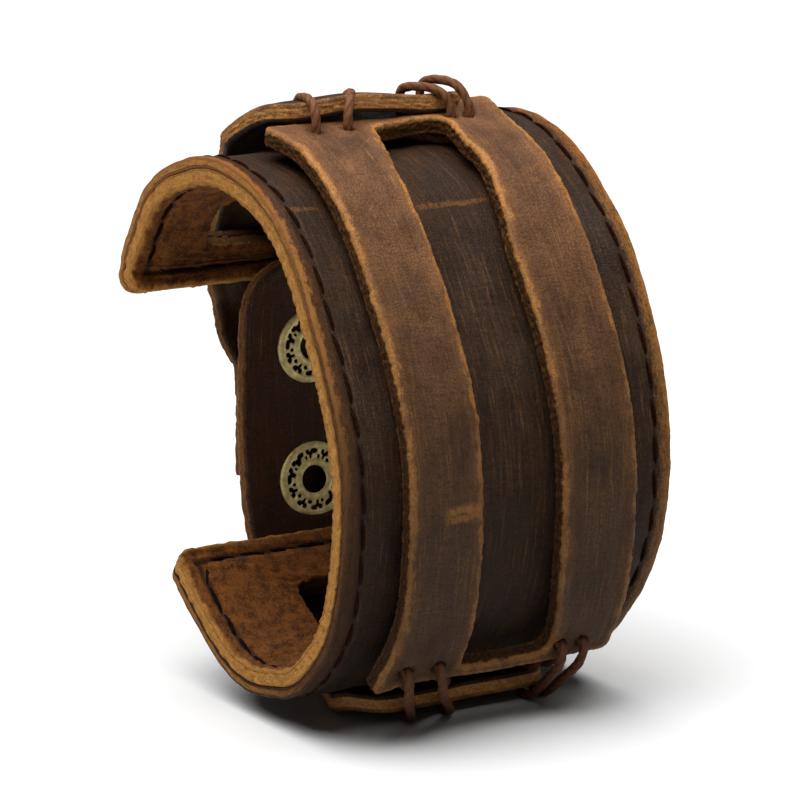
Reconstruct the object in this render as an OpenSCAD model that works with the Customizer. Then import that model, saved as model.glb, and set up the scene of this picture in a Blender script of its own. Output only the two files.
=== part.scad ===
// Leather bracelet: a lined cuff under a split strap panel, closed by two snapped tabs.
// It lies on its curved side with the wrist axis along Y, and the lower tab is pressed flat.

/* [Cuff] */
// Width of the cuff along the wrist
cuff_w = 50; // [46:1:56]
// Thickness of the smooth outer leather
outer_t = 1.5; // [1.2:0.1:1.6]
// Thickness of the suede lining
lining_t = 2.3; // [1.8:0.1:2.6]
// Radius of the cuff's four corners
cuff_corner = 2; // [1:0.5:4]
// Length across the wrist of the slot near the upper end
upper_slot_len = 28; // [18:1:30]
// Length across the wrist of the slot near the lower end
lower_slot_len = 20.6; // [14:0.2:24]
// Height of both slots along the leather
slot_h = 10.6; // [7:0.2:12]
// Radius of the slots' corners
slot_r = 3; // [1:0.5:3.5]
// Distance from each end of the cuff to the middle of its slot
slot_inset = 13.6; // [12:0.2:15]

/* [Strap panel] */
// Width of the whole split panel
panel_w = 35; // [32:1:40]
// Width of the opening between its two straps
split_w = 12; // [8:1:14]
// Thickness of the panel
panel_t = 2.4; // [2:0.1:2.5]
// Length of the joined leather left at the upper end of the opening
upper_web = 3; // [2.5:0.5:8]
// Length of the joined leather left at the lower end of the opening
lower_web = 2.2; // [2:0.2:6]
// Radius of the opening's four corners
split_r = 3.6; // [1:0.2:4]

/* [Closing tabs] */
// Thickness of both tabs
tab_t = 2.5; // [2:0.1:2.5]
// Width of each tab's broad laced end
tab_end_w = 30; // [28:1:33]
// Corner radius of the broad ends
tab_end_r = 5; // [3:0.5:7]
// Width of the upper tab's tongue
upper_tongue_w = 19; // [17:1:21]
// Width of the lower tab's tongue
lower_tongue_w = 21.5; // [20:0.5:24]
// Height of the lower tab's round tip above the ground
lower_tip_z = 54.5; // [52:0.5:56]
// Height of the upper tab's round tip above the ground
upper_tip_z = 15.5; // [14:0.5:17]

/* [Snaps] */
// Diameter of the ring on the back of a snap
ring_d = 10.5; // [9:0.5:11]
// Diameter of the blind hole in the ring
ring_hole_d = 3.9; // [3:0.1:4.2]
// Diameter of the cap on the outside
cap_d = 10.5; // [9:0.5:11]
// Height of the lower snap above the ground
snap_z = 24.4; // [23:0.2:26]
// Distance between the two snaps
snap_pitch = 18.4; // [17:0.2:19]

/* [Lacing] */
// Diameter of the waxed cord
cord_d = 1.3; // [1:0.1:1.3]
// Diameter of the lacing holes
lace_hole_d = 2; // [1.8:0.1:2.2]

/* [Hidden] */

$fn = 32;
// Clearance between neighbouring layers
layer_gap = 0.1;
// Length that a cutter reaches past what it cuts
over = 1;
// Size that is larger than the whole bracelet
big = 120;
// Steps of a smooth curve between two rows of a table
steps = 4;
// Steps of the opening's section along the panel
opening_steps = 40;
// Steps of one round corner
corner_steps = 6;
// Sides of the cord's section
cord_sides = 8;

// Each table is the outer face of one layer, seen along the wrist.
// Columns: x towards the front, z up from the ground.
cuff_rows = [
    [-40.6, 15.4], [-33, 10], [-24.5, 5.2], [-16, 3.6], [-6.5, 5.8], [1.6, 13.2],
    [5.8, 22.6], [7, 33], [5.4, 44], [0.4, 54.2], [-6.8, 65], [-15.5, 71.4],
    [-28, 73.6], [-39.5, 71], [-47, 66], [-51.2, 60.4], [-52.8, 56], [-51.9, 51.8]];
panel_rows = [
    [4.2, 8.4], [7.9, 14.8], [9.8, 22.8], [10.7, 33], [9.3, 43.2], [4.9, 53.6],
    [-1.8, 64], [-9.2, 71.8], [-17, 76.2], [-26.5, 77.8]];
upper_tab_rows = [
    [-25, 80.6], [-31, 79.9], [-37.5, 77.7], [-44, 74.1], [-50, 69], [-54.6, 62.4],
    [-56.9, 55.6], [-54.9, 51.2], [-52.2, 48.6], [-50.8, 45.4], [-50.4, 40], [-50.4, 32],
    [-50, 24], [-48.8, 16], [-47, 10]];
lower_tab_rows = [
    [-44.6, 57], [-45.8, 49], [-46.3, 41], [-46.4, 33], [-46, 25.4], [-44.8, 19],
    [-42.2, 13], [-38.2, 7.6], [-33.4, 2.9], [-27, 0], [-20, 0], [-14, 0], [-9, 1.3], [-4.5, 1.6]];

// Columns: x of the broad end's edge, x where its sides turn in, x where the tongue starts.
upper_tab_plan = [-25, -42.5, -54];
lower_tab_plan = [-4.5, -14, -25];

// x of the lacing holes in the panel's upper end and in the broad ends of the two tabs
panel_top_hole_x = -22.2;
tab_top_hole_x = -29.9;
tab_bottom_hole_x = -7.3;
// Distance from the panel's lower edge to its lacing holes
panel_hole_inset = 2.4;

// The two snaps sit on the lower tab and look the same way as its faces do.
snap_heights = [snap_z, snap_z + snap_pitch];
// Distance between the two tabs at the snaps
tab_space = 1.6;
// How far the cap's and the ring's flanges are pressed into the leather
seat = 0.3;
// Clearance between metal and leather
metal_gap = 0.1;
// Height of the cap's dome, and steps of its curve
cap_dome_h = 1.3;
dome_steps = 6;
// Post under the cap, and the socket at its inner end
cap_post_d = 3.2;
socket_d = 7.8;
socket_hole_d = 5.4;
// How far the socket stands out of the upper tab, and the stud out of the lower one
socket_out = 1.2;
stud_out = 1.3;
stud_d = 4.9;
// Rim of the ring, and the sunk band between its two raised edges
rim_h = 0.6;
rim_bevel = 0.4;
band_depth = 0.25;
band_outer_d = 8.6;
band_inner_d = 6;

// The middle of one lace loop. Columns: x, z, and the lean from its tab hole (0)
// to its panel hole (1).
top_lace_rows = [
    [panel_top_hole_x, 78.4, 1], [-22.9, 80.2, 0.85], [-24.6, 81.3, 0.6], [-27.4, 81.5, 0.15],
    [-29.4, 80.8, 0], [tab_top_hole_x, 79, 0], [-29.6, 76.6, 0], [-28.4, 75, 0],
    [-26, 74.4, 0.4], [-23.8, 74.1, 0.9], [-22.4, 74.6, 1], [panel_top_hole_x, 76.4, 1]];
bottom_lace_rows = [
    [6.1, 10.2, 1], [5.2, 7.9, 0.9], [2.2, 5.3, 0.65], [-1.2, 2.9, 0.3], [-4, 1.05, 0.05],
    [-6.5, 0.74, 0], [tab_bottom_hole_x, 2.2, 0], [tab_bottom_hole_x, 3.6, 0], [-6.3, 4.9, 0],
    [-3, 5.5, 0.2], [0.3, 8.2, 0.7], [1.7, 10.9, 0.95], [2.7, 12.1, 1], [4.6, 11.2, 1]];
// Cord above this height is raised further by the third column of top_laces.
lift_z = 80;

// One row for each loop. Columns: panel hole y, tab hole y, share by which the arch is raised.
top_laces = [[-11.4, -11.2, 0], [-7.4, -4, 0], [8, 6, 0.15], [11.6, 9.2, 0.6]];
// Columns: panel hole y, tab hole y
bottom_laces = [[-14.6, -8.2], [-10.2, -2], [8.8, 10.8], [12.2, 13]];

// Point at u between b and c on the smooth curve through four rows
function blend(a, b, c, d, u) =
    (2 * b + (c - a) * u + (2 * a - 5 * b + 4 * c - d) * u * u
        + (3 * b - a - 3 * c + d) * u * u * u) / 2;

// All points of the smooth curve through an open table
function curve(rows) = let(n = len(rows) - 1) concat([
    for (i = [0 : n - 1], k = [0 : steps - 1])
        blend(rows[max(i - 1, 0)], rows[i], rows[i + 1], rows[min(i + 2, n)], k / steps)],
    [rows[n]]);

// The same through a closed loop, with two steps between rows
function ring_curve(rows) = let(n = len(rows)) [
    for (i = [0 : n - 1], k = [0, 0.5])
        blend(rows[(i + n - 1) % n], rows[i], rows[(i + 1) % n], rows[(i + 2) % n], k)];

function unit(v) = v / norm(v);
function heading(p, i) = unit(p[min(i + 1, len(p) - 1)] - p[max(i - 1, 0)]);
function left(v) = [-v[1], v[0]];
function backwards(p) = [for (i = [len(p) - 1 : -1 : 0]) p[i]];

// The same curve moved to the left of its direction, which is inwards on every layer
function beside(p, d) = [for (i = [0 : len(p) - 1]) p[i] + d * left(heading(p, i))];

// Length of a curve
function path_length(p, i = 1) = i >= len(p) ? 0 : norm(p[i] - p[i - 1]) + path_length(p, i + 1);

// x, z and direction at a distance along a curve
function along(p, s, i = 0) =
    let(step = norm(p[i + 1] - p[i]))
    s > step && i < len(p) - 2 ? along(p, s - step, i + 1)
        : let(q = p[i] + (p[i + 1] - p[i]) * s / step, h = unit(p[i + 1] - p[i]))
            [q[0], q[1], atan2(h[1], h[0])];

// Distance along a falling curve at which it first reaches a height
function reach(p, z, i = 0) =
    p[i + 1][1] > z ? norm(p[i + 1] - p[i]) + reach(p, z, i + 1)
        : norm(p[i + 1] - p[i]) * (p[i][1] - z) / (p[i][1] - p[i + 1][1]);

cuff_line = curve(cuff_rows);
panel_line = curve(panel_rows);
upper_tab_line = curve(upper_tab_rows);
// The ground presses this one flat: what would sink is cut off, in one straight line.
lower_tab_curve = curve(lower_tab_rows);
lower_tab_line = [
    for (i = [0 : len(lower_tab_curve) - 1])
        let(z = [for (k = [max(i - 1, 0), i, min(i + 1, len(lower_tab_curve) - 1)])
            max(lower_tab_curve[k][1], 0)])
        if (max(z) > 0) [lower_tab_curve[i][0], z[1]]];

cuff_len = path_length(cuff_line);
panel_len = path_length(panel_line);
lining_depth = outer_t + layer_gap;

// The bracelet is moved so that its middle stands over the origin.
front_x = max([for (q = panel_line) q[0]]);
back_x = min([for (q = upper_tab_line) q[0]]);
mid_x = (front_x + back_x) / 2;
module centred() translate([-mid_x, 0, 0]) children();

// One layer: its section between two depths under a curve, as wide as w
module layer(p, depth_a, depth_b, w)
    rotate([90, 0, 0])
        linear_extrude(w, center = true)
            polygon(concat(beside(p, depth_a), backwards(beside(p, depth_b))));

// Puts its child on a curve, with x along the leather and z into the bracelet
module on_line(p, s) {
    q = along(p, s);
    translate([q[0], 0, q[1]])
        rotate([0, -q[2], 0])
            children();
}

// A slot with round corners, cut across the wrist through every layer
module slot_cutter(l, h) {
    deep = lining_depth + lining_t + 2 * over;
    for (x = [-1, 1], y = [-1, 1])
        translate([x * (h / 2 - slot_r), y * (l / 2 - slot_r), -over])
            cylinder(h = deep, r = slot_r);
    translate([-h / 2, slot_r - l / 2, -over])
        cube([h, l - 2 * slot_r, deep]);
    translate([slot_r - h / 2, -l / 2, -over])
        cube([h - 2 * slot_r, l, deep]);
}

// What is left outside a round corner: dir is 1 at the far end of a curve and -1 at its start
module corner_cutter(w, r, dir)
    for (y = [-1, 1])
        difference() {
            translate([dir > 0 ? -r : -over, y > 0 ? w / 2 - r : -w / 2 - over, -over])
                cube([r + over, r + over, lining_depth + lining_t + 2 * over]);
            translate([-dir * r, y * (w / 2 - r), -2 * over])
                cylinder(h = lining_depth + lining_t + 4 * over, r = r);
        }

module cuff_cutters() {
    on_line(cuff_line, slot_inset) slot_cutter(lower_slot_len, slot_h);
    on_line(cuff_line, cuff_len - slot_inset) slot_cutter(upper_slot_len, slot_h);
    on_line(cuff_line, 0) corner_cutter(cuff_w, cuff_corner, -1);
    on_line(cuff_line, cuff_len) corner_cutter(cuff_w, cuff_corner, 1);
}

module outer_cuff()
    color("#4a3b32")
        centred()
            difference() {
                layer(cuff_line, 0, outer_t, cuff_w);
                cuff_cutters();
            }

module suede_lining()
    color("#9a6a3c")
        centred()
            difference() {
                layer(cuff_line, lining_depth, lining_depth + lining_t, cuff_w);
                cuff_cutters();
            }

// The panel is split in two straps by a long opening with round corners.
module strap_panel()
    color("#6b4a36")
        centred()
            difference() {
                layer(panel_line, 0, panel_t, panel_w);
                rotate([90, 0, 0])
                    linear_extrude(split_w, center = true)
                        polygon(opening_section());
                opening_end(lower_web, 1);
                opening_end(panel_len - upper_web, -1);
                lace_holes([for (lace = top_laces) lace[0]], panel_top_hole_x, lift_z - big);
                for (lace = bottom_laces)
                    on_line(panel_line, panel_hole_inset)
                        translate([0, lace[0], -over])
                            cylinder(h = panel_t + 2 * over, d = lace_hole_d);
            }

// Section of the straight part of the opening, a little thicker than the panel
function opening_section() =
    let(from = lower_web + split_r,
        to = panel_len - upper_web - split_r,
        p = [for (k = [0 : opening_steps])
            let(q = along(panel_line, from + (to - from) * k / opening_steps)) [q[0], q[1]]])
    concat(beside(p, -over), backwards(beside(p, panel_t + over)));

module opening_end(s, dir)
    on_line(panel_line, s + dir * split_r)
        translate([0, 0, -over]) {
            for (y = [-1, 1])
                translate([0, y * (split_w / 2 - split_r), 0])
                    cylinder(h = panel_t + 2 * over, r = split_r);
            translate([-split_r, split_r - split_w / 2, 0])
                cube([2 * split_r, split_w - 2 * split_r, panel_t + 2 * over]);
        }

// Upright holes at some places across the wrist, from height z up
module lace_holes(places, x, z)
    for (y = places)
        translate([x, y, z])
            cylinder(h = big, d = lace_hole_d);

// Quarter of a circle, from angle a on
function arc(x, y, r, a) = [
    for (k = [0 : corner_steps])
        let(t = a + 90 * k / corner_steps) [x + r * cos(t), y + r * sin(t)]];

// Outline of a tab seen from above: broad end, shoulders and tongue
function tab_outline(plan, tongue_w) =
    let(w = tab_end_w / 2, r = tab_end_r, t = tongue_w / 2)
    concat(
        arc(plan[0] - r, r - w, r, -90),
        arc(plan[0] - r, w - r, r, 0),
        [[plan[1], w], [plan[2], t], [-big, t], [-big, -t], [plan[2], -t], [plan[1], -w]]);

// Round tip at height z, pointing up or down, with everything on the other side kept
module tip(z, w, dir) {
    translate([-big, 0, z - dir * w / 2])
        rotate([0, 90, 0])
            cylinder(h = 2 * big, d = w, $fn = 64);
    translate([-big, -big / 2, dir > 0 ? z - w / 2 - 2 * big : z + w / 2])
        cube([2 * big, big, 2 * big]);
}

module at_snap(i)
    on_line(lower_tab_line, reach(lower_tab_line, snap_heights[i]))
        children();

module upper_tab()
    color("#5a3f2f")
        centred()
            difference() {
                intersection() {
                    layer(upper_tab_line, 0, tab_t, tab_end_w + over);
                    linear_extrude(big) polygon(tab_outline(upper_tab_plan, upper_tongue_w));
                    tip(upper_tip_z, upper_tongue_w, -1);
                }
                lace_holes([for (lace = top_laces) lace[1]], tab_top_hole_x, upper_tip_z);
                for (i = [0, 1])
                    at_snap(i)
                        translate([0, 0, -tab_space - tab_t])
                            cap_seat();
            }

module lower_tab()
    color("#3a2820")
        centred()
            difference() {
                intersection() {
                    layer(lower_tab_line, 0, tab_t, tab_end_w + over);
                    linear_extrude(big) polygon(tab_outline(lower_tab_plan, lower_tongue_w));
                    tip(lower_tip_z, lower_tongue_w, 1);
                }
                lace_holes([for (lace = bottom_laces) lace[1]], tab_bottom_hole_x, lower_tip_z - big);
                for (i = [0, 1])
                    at_snap(i) {
                        translate([0, 0, -over])
                            cylinder(h = tab_t + 2 * over, d = stud_d + 2 * metal_gap);
                        translate([0, 0, tab_t - seat])
                            cylinder(h = upper_tip_z, d = ring_d + 2 * metal_gap);
                    }
            }

// Room for a cap, its post and its socket in the upper tab, measured from the outer face
module cap_seat() {
    translate([0, 0, -big])
        cylinder(h = big + seat, d = cap_d + 2 * metal_gap);
    cylinder(h = tab_t, d = cap_post_d + 2 * metal_gap);
    translate([0, 0, tab_t - 2 * seat])
        cylinder(h = tab_space, d = socket_d + 4 * metal_gap);
}

// Domed cap, post and socket, riveted through the upper tab
module snap_cap(i)
    color("#a89a68")
        centred()
            at_snap(i)
                translate([0, 0, -tab_space - tab_t])
                    rotate_extrude($fn = 48)
                        polygon(cap_section());

function cap_section() =
    let(base = seat - metal_gap, top = tab_t - 2 * seat + metal_gap, face = tab_t + socket_out)
    concat(
        [for (k = [0 : dome_steps])
            let(t = 90 * k / dome_steps) [cap_d / 2 * sin(t), base - cap_dome_h * cos(t)]],
        [[cap_post_d / 2, base], [cap_post_d / 2, top], [socket_d / 2, top], [socket_d / 2, face],
         [socket_hole_d / 2, face], [socket_hole_d / 2, tab_t + metal_gap], [0, tab_t + metal_gap]]);

// Stud and ring, riveted through the lower tab, with a blind hole in the middle
module snap_stud(i)
    color("#a89a68")
        centred()
            at_snap(i)
                rotate_extrude($fn = 48)
                    polygon(stud_section());

function stud_section() =
    let(base = tab_t - seat + metal_gap, rim = tab_t + rim_h, band = tab_t + rim_h - band_depth)
    [[0, -stud_out], [stud_d / 2 - rim_bevel, -stud_out], [stud_d / 2, rim_bevel - stud_out],
     [stud_d / 2, base], [ring_d / 2, base], [ring_d / 2, rim - rim_bevel],
     [ring_d / 2 - rim_bevel, rim], [band_outer_d / 2, rim], [band_outer_d / 2, band],
     [band_inner_d / 2, band], [band_inner_d / 2, rim], [ring_hole_d / 2, rim],
     [ring_hole_d / 2, 0], [0, 0]];

module upper_snap_cap() snap_cap(1);
module lower_snap_cap() snap_cap(0);
module upper_snap_stud() snap_stud(1);
module lower_snap_stud() snap_stud(0);

// A closed cord loop: rings of points swept along the middle line
module cord_loop(p) {
    n = len(p);
    points = [
        for (i = [0 : n - 1])
            let(t = unit(p[(i + 1) % n] - p[(i + n - 1) % n]),
                a = unit(cross(t, [0, 1, 0])),
                b = cross(t, a))
            for (k = [0 : cord_sides - 1])
                let(turn = 360 * k / cord_sides)
                p[i] + cord_d / 2 * (cos(turn) * a + sin(turn) * b)];
    faces = [
        for (i = [0 : n - 1], k = [0 : cord_sides - 1])
            let(next = (i + 1) % n, other = (k + 1) % cord_sides)
            [i * cord_sides + k, next * cord_sides + k,
             next * cord_sides + other, i * cord_sides + other]];
    polyhedron(points, faces);
}

// Middle line of a loop, with what is above lift_z raised on request
function loop_line(rows, lace) = [
    for (q = ring_curve(rows))
        [q[0], lace[1] + (lace[0] - lace[1]) * q[2],
         q[1] + (q[1] > lift_z ? lace[2] * (q[1] - lift_z) : 0)]];

module top_lace(i)
    color("#7a5238")
        centred()
            cord_loop(loop_line(top_lace_rows, top_laces[i]));
module bottom_lace(i)
    color("#7a5238")
        centred()
            cord_loop(loop_line(bottom_lace_rows, bottom_laces[i]));

module top_lace_1() top_lace(0);
module top_lace_2() top_lace(1);
module top_lace_3() top_lace(2);
module top_lace_4() top_lace(3);
module bottom_lace_1() bottom_lace(0);
module bottom_lace_2() bottom_lace(1);
module bottom_lace_3() bottom_lace(2);
module bottom_lace_4() bottom_lace(3);

outer_cuff();
suede_lining();
strap_panel();
upper_tab();
lower_tab();
upper_snap_cap();
lower_snap_cap();
upper_snap_stud();
lower_snap_stud();
top_lace_1();
top_lace_2();
top_lace_3();
top_lace_4();
bottom_lace_1();
bottom_lace_2();
bottom_lace_3();
bottom_lace_4();
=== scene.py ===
import bmesh
import bpy
import numpy as np
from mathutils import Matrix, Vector


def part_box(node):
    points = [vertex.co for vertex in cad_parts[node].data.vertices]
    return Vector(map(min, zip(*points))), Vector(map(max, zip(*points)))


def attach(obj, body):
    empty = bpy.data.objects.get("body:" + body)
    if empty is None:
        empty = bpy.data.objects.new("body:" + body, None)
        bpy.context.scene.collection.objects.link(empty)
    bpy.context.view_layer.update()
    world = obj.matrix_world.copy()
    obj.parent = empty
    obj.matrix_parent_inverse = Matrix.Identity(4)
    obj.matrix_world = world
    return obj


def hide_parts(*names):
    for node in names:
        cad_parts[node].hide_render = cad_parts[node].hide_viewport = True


# A lined leather cuff under a split strap panel. Two tabs, laced to the panel, meet in two ring snaps.
# Every layer of leather is worked out flat, in millimetres along (s) and across (y) the strap,
# and then laid on its outline, which is seen along the wrist.

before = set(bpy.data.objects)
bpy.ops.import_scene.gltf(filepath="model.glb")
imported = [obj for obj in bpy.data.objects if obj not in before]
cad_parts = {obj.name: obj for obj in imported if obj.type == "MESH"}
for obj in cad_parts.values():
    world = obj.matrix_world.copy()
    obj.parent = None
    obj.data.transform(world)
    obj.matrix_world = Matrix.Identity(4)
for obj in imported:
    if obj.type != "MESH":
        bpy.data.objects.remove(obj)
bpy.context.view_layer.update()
scene = bpy.context.scene
mm = 0.001

# Outer face of each layer in its plain shape: x towards the front, z up, in millimetres.
outlines = {
    "cuff": [
        [-40.6, 15.4], [-33, 10], [-24.5, 5.2], [-16, 3.6], [-6.5, 5.8], [1.6, 13.2],
        [5.8, 22.6], [7, 33], [5.4, 44], [0.4, 54.2], [-6.8, 65], [-15.5, 71.4],
        [-28, 73.6], [-39.5, 71], [-47, 66], [-51.2, 60.4], [-52.8, 56], [-51.9, 51.8]],
    "panel": [
        [4.2, 8.4], [7.9, 14.8], [9.8, 22.8], [10.7, 33], [9.3, 43.2], [4.9, 53.6],
        [-1.8, 64], [-9.2, 71.8], [-17, 76.2], [-26.5, 77.8]],
    "upperTab": [
        [-25, 80.6], [-31, 79.9], [-37.5, 77.7], [-44, 74.1], [-50, 69], [-54.6, 62.4],
        [-56.9, 55.6], [-54.9, 51.2], [-52.2, 48.6], [-50.8, 45.4], [-50.4, 40], [-50.4, 32],
        [-50, 24], [-48.8, 16], [-47, 10]],
    "lowerTab": [
        [-44.6, 57], [-45.8, 49], [-46.3, 41], [-46.4, 33], [-46, 25.4], [-44.8, 19],
        [-42.2, 13], [-38.2, 7.6], [-33.4, 2.9], [-27, 0], [-20, 0], [-14, 0], [-9, 1.3],
        [-4.5, 1.6]]}


# Camera and light
def addThing(name, data, looking=None, at=(0, 0, 0)):
    thing = bpy.data.objects.new(name, data)
    scene.collection.objects.link(thing)
    if looking:
        thing.location = at
        thing.rotation_euler = Vector(looking).to_track_quat("-Z", "Y").to_euler()
    return thing


def makeCamera():
    view = {"azimuth": 58, "elevation": 12.6, "place": (412.7, -256.1, 148.0), "lens": 165.2,
            "sensor": 36, "nearest": 0.01}
    turn, up = np.radians(view["azimuth"]), np.radians(view["elevation"])
    data = bpy.data.cameras.new("camera")
    data.lens, data.sensor_width, data.clip_start = view["lens"], view["sensor"], view["nearest"]
    looking = (-np.sin(turn) * np.cos(up), np.cos(turn) * np.cos(up), -np.sin(up))
    scene.camera = addThing("camera", data, looking, Vector(view["place"]) * mm)


makeCamera()
print("camera ready")

# The studio's strengths and places in metres; level is how bright its light makes a colour.
studio = {
    "level": 1.5, "world": 0.06, "floor": 0.68, "floorSize": 4, "sun": 5, "sunWidth": 80,
    "sunWay": (0.06, 0.1, -1), "box": 1.6, "boxSize": 0.4, "boxPlace": (0.06, -0.16, 0.6),
    "boxAim": (0, 0, 0.04)}


# Curves, seen along the wrist
def flat(*values):
    return np.stack(np.broadcast_arrays(*[np.asarray(v, float) for v in values]), -1)


def around(count):
    return np.linspace(0, 2 * np.pi, count, endpoint=False)


def unit(v):
    return v / np.maximum(np.linalg.norm(v, axis=-1), 1e-9)[..., None]


def smoothCurve(rows, perSpan=24, closed=False):
    # a smooth curve through the rows: each span b to c bends with its neighbours a and d
    p = np.array(rows, float)
    q = np.vstack([p[-1:], p, p[:2]] if closed else [p[:1], p, p[-1:]])
    a, b, c, d = (q[k:len(q) - 3 + k, None, :] for k in range(4))
    u = np.linspace(0, 1, perSpan, endpoint=False)[None, :, None]
    line = (2 * b + (c - a) * u + (2 * a - 5 * b + 4 * c - d) * u**2 + (3 * b - a - 3 * c + d) * u**3) / 2
    line = line.reshape(-1, p.shape[1])
    return line if closed else np.vstack([line, p[-1:]])


def lengthAlong(line):
    return np.concatenate([[0], np.cumsum(np.linalg.norm(np.diff(line, axis=0), axis=1))])


def onLine(at, way, line):
    return np.stack([np.interp(at, way, column) for column in line.T], -1)


def layPath(rows, step=0.25):
    # the outline at even steps, with its heading
    p = smoothCurve(rows)
    p[:, 0] += middleX
    p[:, 1] = np.maximum(p[:, 1], 0)
    s = lengthAlong(p)
    even = np.linspace(0, s[-1], int(s[-1] / step) + 1)
    p = onLine(even, s, p)
    return {"s": even, "p": p, "heading": unit(np.gradient(p, even, axis=0)), "length": s[-1]}


def onPath(path, s):
    # place, heading (hx, hz) and outward direction (hz, -hx) at s, carried straight on past both ends
    inside = np.clip(s, 0, path["length"])
    p, h = (onLine(inside, path["s"], path[key]) for key in ("p", "heading"))
    h = unit(h)
    return p + h * (s - inside)[..., None], h, flat(h[..., 1], -h[..., 0])


def place(path, s, y, depth):
    # a point of the flat leather at s and y, depth below the outer face, in metres
    s, y, depth = np.broadcast_arrays(np.asarray(s, float), y, depth)
    p, h, out = onPath(path, s)
    q = p - out * depth[..., None]
    return flat(q[..., 0], y, q[..., 1]) * mm


def reachHeight(path, z):
    # distance at which a falling outline first passes a height
    return path["s"][np.argmax(path["p"][:, 1] < z)]


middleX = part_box("strap_panel")[1].x / mm - smoothCurve(outlines["panel"])[:, 0].max()
cuffPath, panelPath, upperPath, lowerPath = (layPath(outlines[k]) for k in outlines)
print("outlines laid, middle at", round(middleX, 2))


def ripple(points, size, seed):
    # uneven waves of about the given size: a sum of sines in seeded directions
    draw, count = np.random.default_rng(seed), 14
    points = np.asarray(points, float)
    turn = draw.normal(size=(count, points.shape[-1]))
    turn *= (2 * np.pi / size * draw.uniform(0.5, 1.5, count) / np.linalg.norm(turn, axis=1))[:, None]
    return np.sin(points @ turn.T + draw.uniform(0, 2 * np.pi, count)).sum(-1) / np.sqrt(count / 2)


def ramp(x, low, high):
    t = np.clip((np.asarray(x, float) - low) / (high - low), 0, 1)
    return t * t * (3 - 2 * t)


def bump(x, middle, width):
    return np.exp(-((np.asarray(x, float) - middle) / width)**2)


# Meshes
def gridQuads(rows, columns, closed=True, looped=False):
    # faces between a grid's points; closed joins its last column to its first, looped its last row
    index = np.arange(rows * columns).reshape(rows, columns)
    if closed:
        index = np.hstack([index, index[:, :1]])
    if looped:
        index = np.vstack([index, index[:1]])
    return np.stack([index[:-1, :-1], index[1:, :-1], index[1:, 1:], index[:-1, 1:]], -1).reshape(-1, 4)


def gridPart(points, quads, lay, **numbers):
    # one grid of a piece: its points, and the flat place and the numbers that its material reads there
    return {"points": points, "quads": quads, "lay": lay,
            **{key: np.broadcast_to(value, lay.shape[:-1]) for key, value in numbers.items()}}


def makePiece(name, parts, material, slot, *nodes, weld=2e-7, capped=False):
    # joins the grids into one closed mesh, which stands in for the named nodes
    points = [part["points"].reshape(-1, 3) for part in parts]
    starts = np.cumsum([0] + [len(p) for p in points])
    quads = np.vstack([part["quads"] + start for part, start in zip(parts, starts)])
    mesh = bpy.data.meshes.new(name)
    mesh.vertices.add(starts[-1])
    mesh.vertices.foreach_set("co", np.vstack(points).astype(np.float32).ravel())
    mesh.loops.add(quads.size)
    mesh.loops.foreach_set("vertex_index", quads.astype(np.int32).ravel())
    mesh.polygons.add(len(quads))
    mesh.polygons.foreach_set("loop_start", np.arange(0, quads.size, 4, dtype=np.int32))
    mesh.polygons.foreach_set("loop_total", np.full(len(quads), 4, np.int32))
    mesh.polygons.foreach_set("use_smooth", np.ones(len(quads), bool))
    mesh.update(calc_edges=True)
    for key in list(parts[0])[2:]:
        values = np.concatenate([np.asarray(part[key], np.float32).reshape(-1) for part in parts])
        kind, field = ("FLOAT_VECTOR", "vector") if key == "lay" else ("FLOAT", "value")
        mesh.attributes.new(key, kind, "POINT").data.foreach_set(field, values)
    work = bmesh.new()
    work.from_mesh(mesh)
    bmesh.ops.remove_doubles(work, verts=work.verts, dist=weld)
    if capped:
        bmesh.ops.holes_fill(work, edges=[edge for edge in work.edges if edge.is_boundary])
    bmesh.ops.recalc_face_normals(work, faces=work.faces)
    work.to_mesh(mesh)
    work.free()
    mesh.materials.append(material)
    piece = addThing(name, mesh)
    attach(piece, "root")
    if nodes:
        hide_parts(*nodes)
    print("made", name, len(mesh.polygons), "faces")


# Flat leather: sheets of points between their rims
def ringSheet(outer, inner, nearOuter, nearInner, middleRows):
    # rows outer + (inner - outer) * share, close together at each edge and even between
    gap, reach = np.linalg.norm(inner - outer, axis=1)[None, :], 0.42
    first = np.array(nearOuter)[:, None] * np.minimum(1 / gap, reach / nearOuter[-1])
    last = 1 - np.array(nearInner)[::-1, None] * np.minimum(1 / gap, reach / max(nearInner[-1], 0.01))
    between = np.linspace(0, 1, middleRows + 2)[1:-1, None]
    share = np.vstack([first, first[-1:] + (last[:1] - first[-1:]) * between, last])[..., None]
    return outer + (inner - outer) * share


def edgeDistance(points, rims):
    # distance from each flat point to the nearest rim, a few thousand points at a time
    best = np.full(len(points), 1e9)
    for rim in rims:
        along = np.roll(rim, -1, axis=0) - rim
        square = np.maximum((along**2).sum(1), 1e-12)
        for some in np.array_split(np.arange(len(points)), len(points) // 3000 + 1):
            off = points[some, None] - rim[None]
            t = np.clip((off * along).sum(-1) / square, 0, 1)
            near = np.sqrt(((off - t[..., None] * along)**2).sum(-1).min(1))
            best[some] = np.minimum(best[some], near)
    return best


def roundDrop(distance, radius):
    # how far a rounded edge lies below its face
    return radius - np.sqrt(np.clip(radius**2 - np.clip(radius - distance, 0, None)**2, 0, None))


def fray(points, edge, amount, back):
    # a cut edge is ragged: points near it wander, differently on the two faces
    wander = [ripple(points, 1.3, seed) + 0.7 * ripple(points, 0.7, seed + 2)
              for seed in (200 + 10 * back, 205 + 10 * back)]
    return points + amount * np.stack(wander, 1) * (1 - ramp(edge, 0, 0.6))[:, None]


def fibres(way, share, size, amount, seed):
    # the roughness of a cut wall, along it and down it
    fine = ripple(flat(way, share * 3), size * 0.35, seed + 1)
    return amount * (ripple(flat(way, share * 2.5), size, seed) + 0.6 * fine)


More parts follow.
